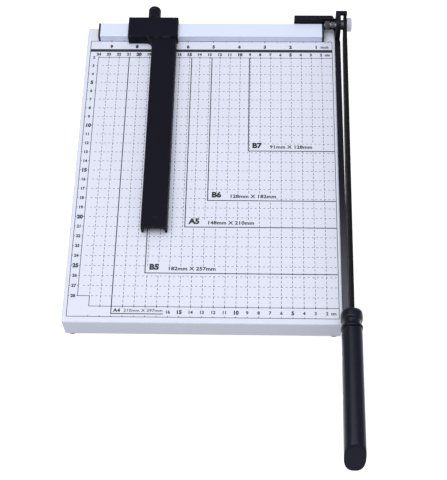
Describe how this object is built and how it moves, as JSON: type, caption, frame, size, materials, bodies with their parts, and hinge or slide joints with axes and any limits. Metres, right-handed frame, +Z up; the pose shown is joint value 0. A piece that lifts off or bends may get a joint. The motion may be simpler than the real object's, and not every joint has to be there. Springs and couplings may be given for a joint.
{
  "type": "guillotine paper cutter",
  "caption": "Guillotine paper cutter: a flat steel bed with a printed grid, a hinged blade with a bar handle, and a clamped stop that slides on the fence.",
  "frame": {"origin": "middle of the footprint, on the surface that the feet stand on", "axes": "+Z up; +Y away from the user, along the blade from its handle to its hinge; +X to the right, the side with the blade"},
  "size_m": [0.2628, 0.4734, 0.0552],
  "materials": {
    "white_enamel": "smooth white enamel on pressed steel sheet",
    "fence_enamel": "smooth white enamel on an aluminium section",
    "black_enamel": "black paint on steel",
    "blade_steel": "ground steel, black paint along the upper edge",
    "zinc_steel": "bright zinc plating",
    "black_oxide": "blackened steel, oiled",
    "spring_steel": "oiled spring wire",
    "black_plastic": "moulded, satin",
    "handle_plastic": "moulded, satin",
    "cap_plastic": "moulded, matt",
    "rubber": "matt",
    "brass": "turned",
    "nylon": "natural nylon"
  },
  "bodies": {
    "base": {"base_tray": "white_enamel", "bracket_bolt_1": "zinc_steel", "bracket_bolt_2": "zinc_steel", "bracket_nut_1": "zinc_steel", "bracket_nut_2": "zinc_steel", "fence_bar": "fence_enamel", "fence_cap_left": "cap_plastic", "fence_cap_right": "cap_plastic", "fence_screw_1": "zinc_steel", "fence_screw_2": "zinc_steel", "fence_screw_3": "zinc_steel", "fixed_knife": "black_enamel", "foot_back_left": "rubber", "foot_back_right": "rubber", "foot_front_left": "rubber", "foot_front_right": "rubber", "knife_screw_1": "zinc_steel", "knife_screw_2": "zinc_steel", "knife_screw_3": "zinc_steel", "knife_screw_4": "zinc_steel", "pivot_bolt": "zinc_steel", "pivot_bracket": "black_enamel", "pivot_nut": "black_oxide", "pivot_spacer": "black_oxide", "pivot_spring": "spring_steel", "pivot_washer": "black_oxide"},
    "blade_arm": {"moving_blade": "blade_steel", "handle_collar": "handle_plastic", "handle_grip": "handle_plastic", "handle_rivet_1": "zinc_steel", "handle_rivet_2": "zinc_steel"},
    "gauge": {"gauge_slide": "black_plastic", "threaded_insert": "brass"},
    "clamp_tip": {"clamp_pad": "nylon"},
    "clamp_hand": {"clamp_knob": "black_plastic", "clamp_screw": "zinc_steel"}
  },
  "joints": [
    {"name": "blade_swing", "type": "hinge", "parent": "base", "child": "blade_arm", "pos_m": [0.12471, 0.21117, 0.041], "axis": [-1, 0, 0], "range_deg": [0, 65]},
    {"name": "gauge_travel", "type": "slide", "parent": "base", "child": "gauge", "axis": [1, 0, 0], "range_m": [-0.028, 0.114]},
    {"name": "clamp_press", "type": "slide", "parent": "gauge", "child": "clamp_tip", "axis": [0, 1, 0], "range_m": [0, 0.0008]},
    {"name": "clamp_knob_turn", "type": "hinge", "parent": "clamp_tip", "child": "clamp_hand", "pos_m": [-0.06487, 0.22492, 0.034], "axis": [0, 1, 0], "range_deg": [0, 360]}
  ],
  "couplings": [
    {"joint": "clamp_knob_turn", "follows": "clamp_press", "rad_per_m": 7853.9}
  ]
}
